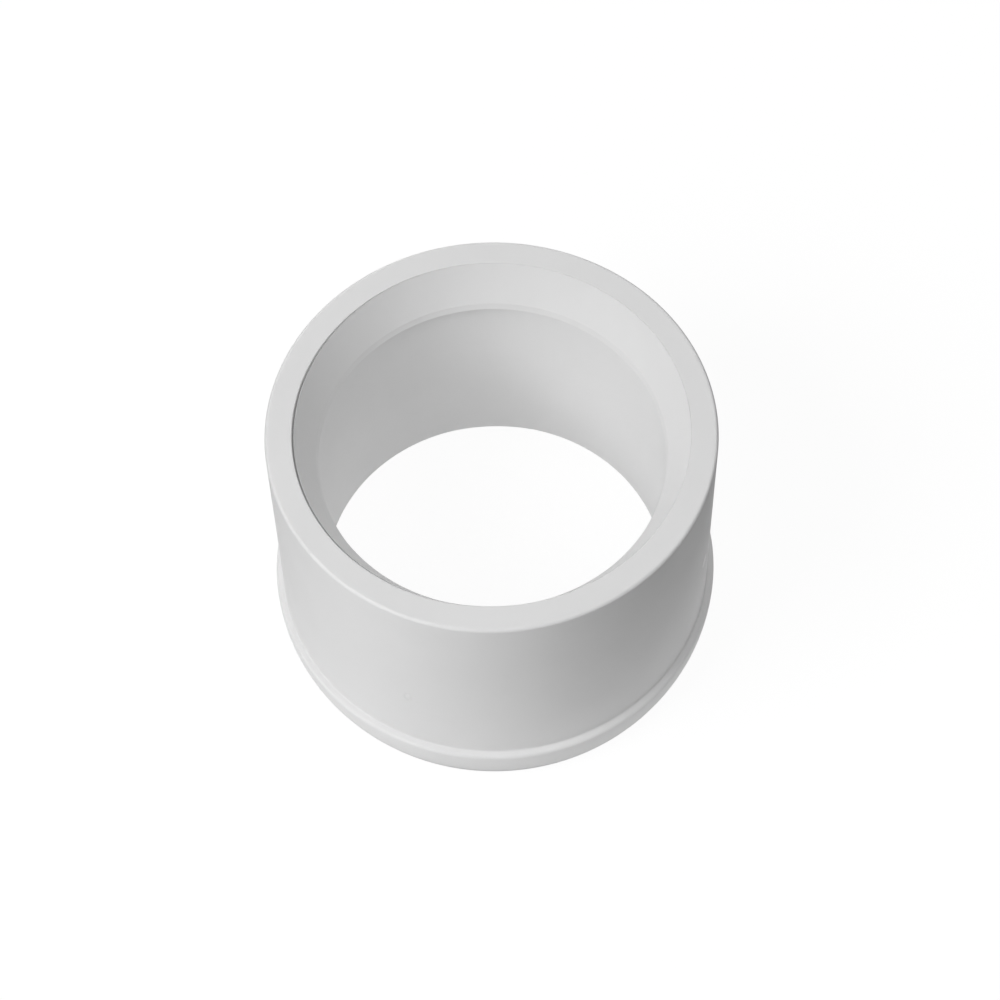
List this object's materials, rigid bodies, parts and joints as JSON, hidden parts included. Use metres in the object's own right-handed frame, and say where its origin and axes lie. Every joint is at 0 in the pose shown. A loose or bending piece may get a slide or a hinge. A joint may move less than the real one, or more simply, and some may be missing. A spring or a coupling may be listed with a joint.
{
  "type": "pipe reducer",
  "caption": "Short moulded reducer for plastic waste pipe: a plain spigot with a stop collar outside, and a smooth socket with an internal pipe stop for a smaller pipe.",
  "frame": {"origin": "on the pipe axis, in the plane of the foot: the flat end of the collar, at the socket's mouth", "axes": "+Z along the pipe axis, from the collar's foot towards the spigot's rim; the ring is round, so X and Y are free"},
  "size_m": [0.0518, 0.0518, 0.036],
  "materials": {
    "white_pvc": "satin, as moulded"
  },
  "bodies": {
    "root": {"reducer_body": "white_pvc"}
  },
  "joints": []
}
